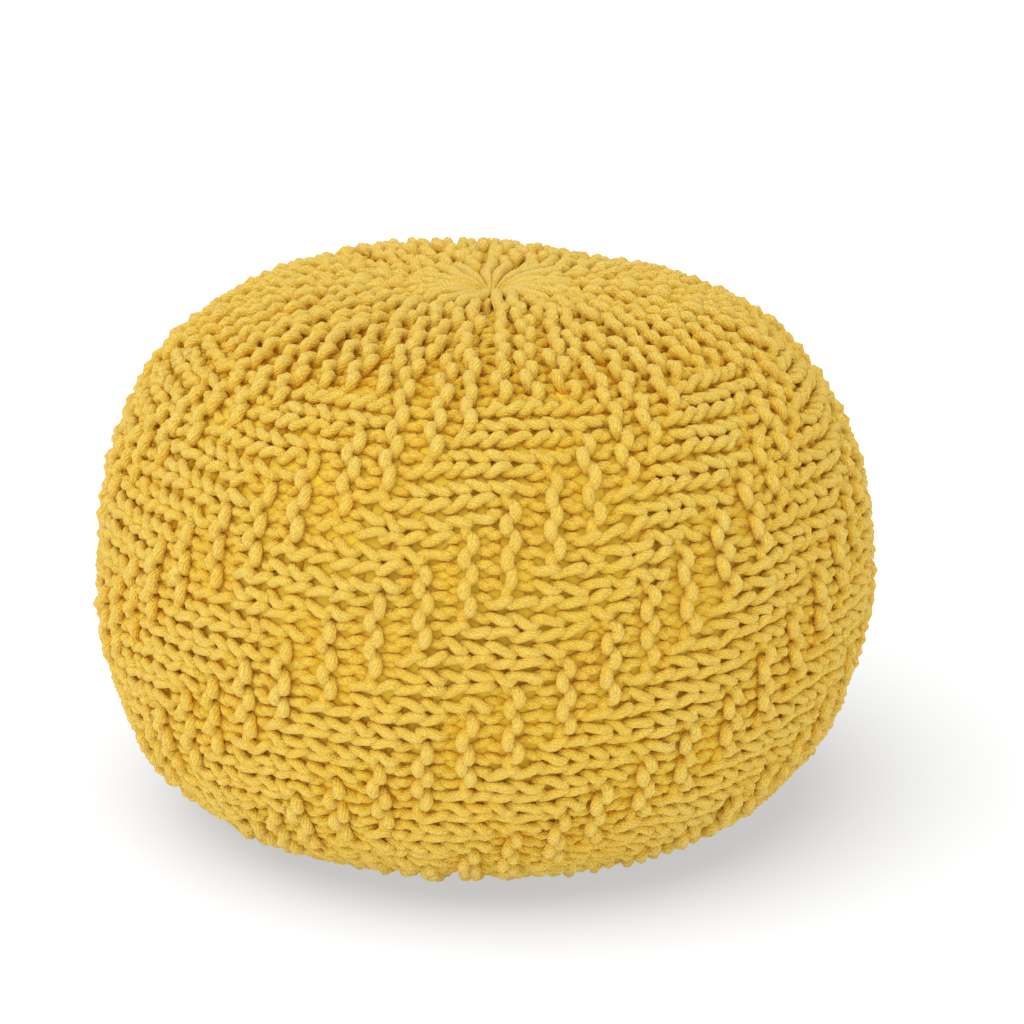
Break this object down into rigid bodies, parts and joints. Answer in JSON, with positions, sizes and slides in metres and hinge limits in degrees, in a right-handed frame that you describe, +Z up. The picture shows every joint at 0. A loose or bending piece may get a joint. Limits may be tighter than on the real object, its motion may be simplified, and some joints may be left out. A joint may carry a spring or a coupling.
{
  "type": "knitted pouf",
  "caption": "Round knitted floor pouf: a thick cord cover with stepped ribs and level chain stitch over a filled inner bag, gathered on top and flat underneath.",
  "frame": {"origin": "middle of the flat underside, on the surface the pouf stands on", "axes": "+Z up through the gather on top; -Y is the side that faces the viewer in the picture, and +X is to the viewer's right"},
  "size_m": [0.4995, 0.501, 0.3486],
  "materials": {
    "cotton_cord": "matte, softly twisted and slightly fuzzy cotton cord",
    "bag_cloth": "matte, plain woven cloth"
  },
  "bodies": {
    "root": {"knitted_cover": "cotton_cord", "inner_bag": "bag_cloth"}
  },
  "joints": []
}
